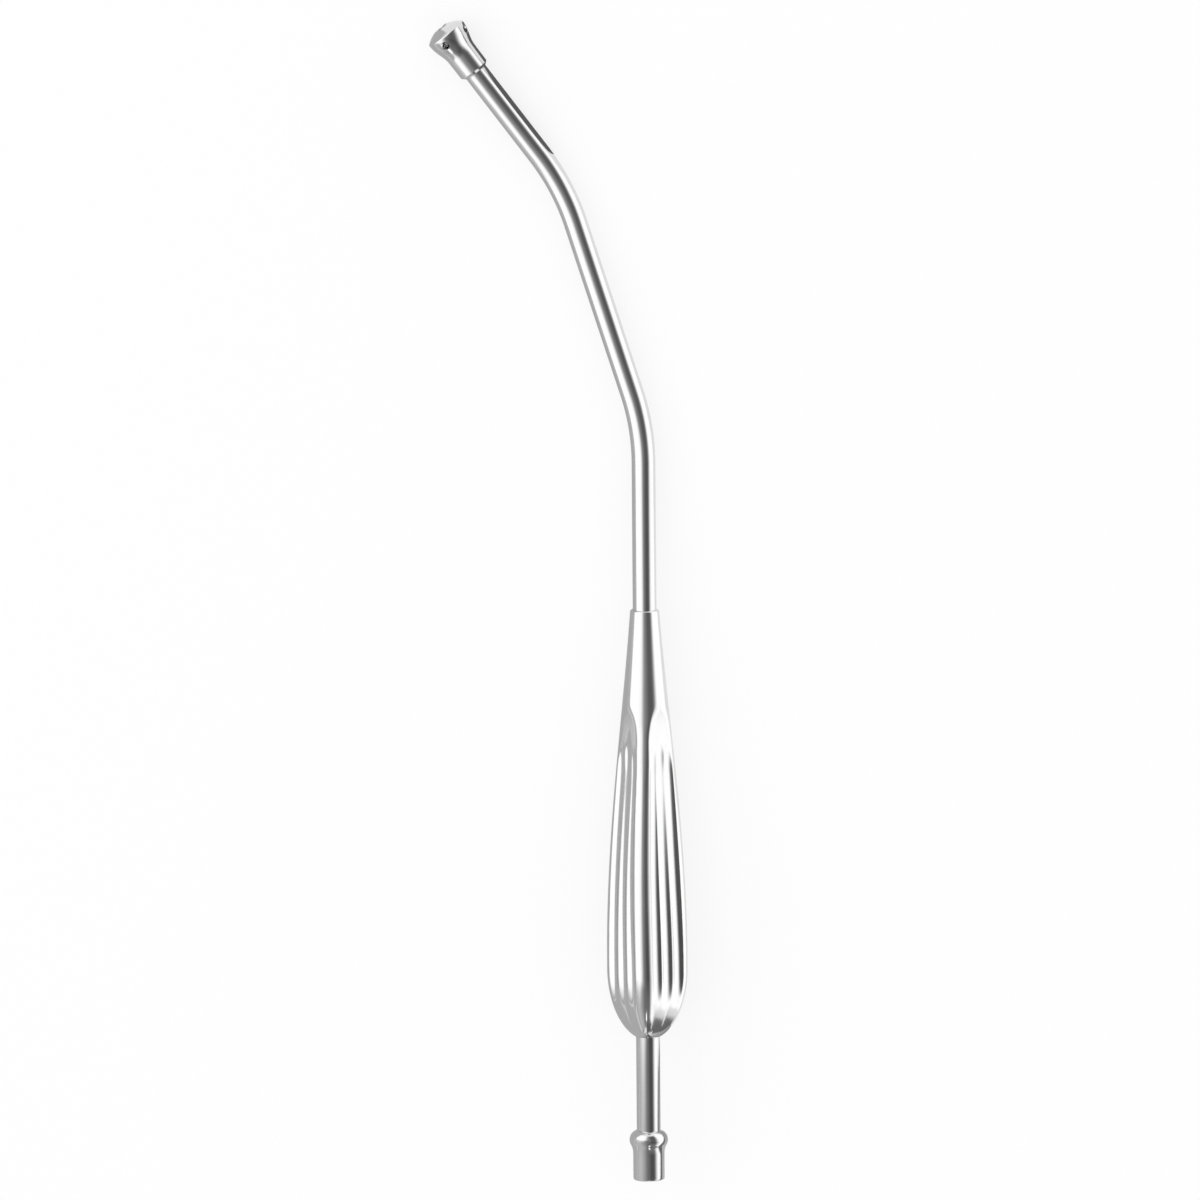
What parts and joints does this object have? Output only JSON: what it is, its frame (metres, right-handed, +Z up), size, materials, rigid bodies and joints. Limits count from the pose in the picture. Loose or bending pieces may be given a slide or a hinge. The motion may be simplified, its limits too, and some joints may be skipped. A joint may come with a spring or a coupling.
{
  "type": "yankauer suction tube",
  "caption": "Rigid steel suction tube with a twice-bent shaft, hollow fluted pear-shaped handle, screw-off perforated tip and a hose olive.",
  "frame": {"origin": "on the table, under the middle of the instrument's bounding box, as it lies at rest on its belly, the bend of its tube and the rim of its tip", "axes": "+Y along the instrument from the hose olive to the tip, +X to the side away from the bend, +Z up off the table"},
  "size_m": [0.06, 0.2804, 0.0201],
  "materials": {
    "handle_steel": "polished stainless steel with fine polishing lines",
    "tube_steel": "polished drawn stainless steel",
    "olive_steel": "polished turned stainless steel",
    "bush_steel": "bright turned stainless steel with a thread",
    "tip_steel": "polished turned stainless steel with drilled holes"
  },
  "bodies": {
    "instrument": {"handle": "handle_steel", "suction_tube": "tube_steel", "hose_olive": "olive_steel", "tip_bush": "bush_steel"},
    "tip": {"suction_tip": "tip_steel"}
  },
  "joints": [
    {"name": "tip_unscrew", "type": "slide", "parent": "instrument", "child": "tip", "axis": [-0.5953, 0.8021, 0.048], "range_m": [0, 0.014]}
  ]
}
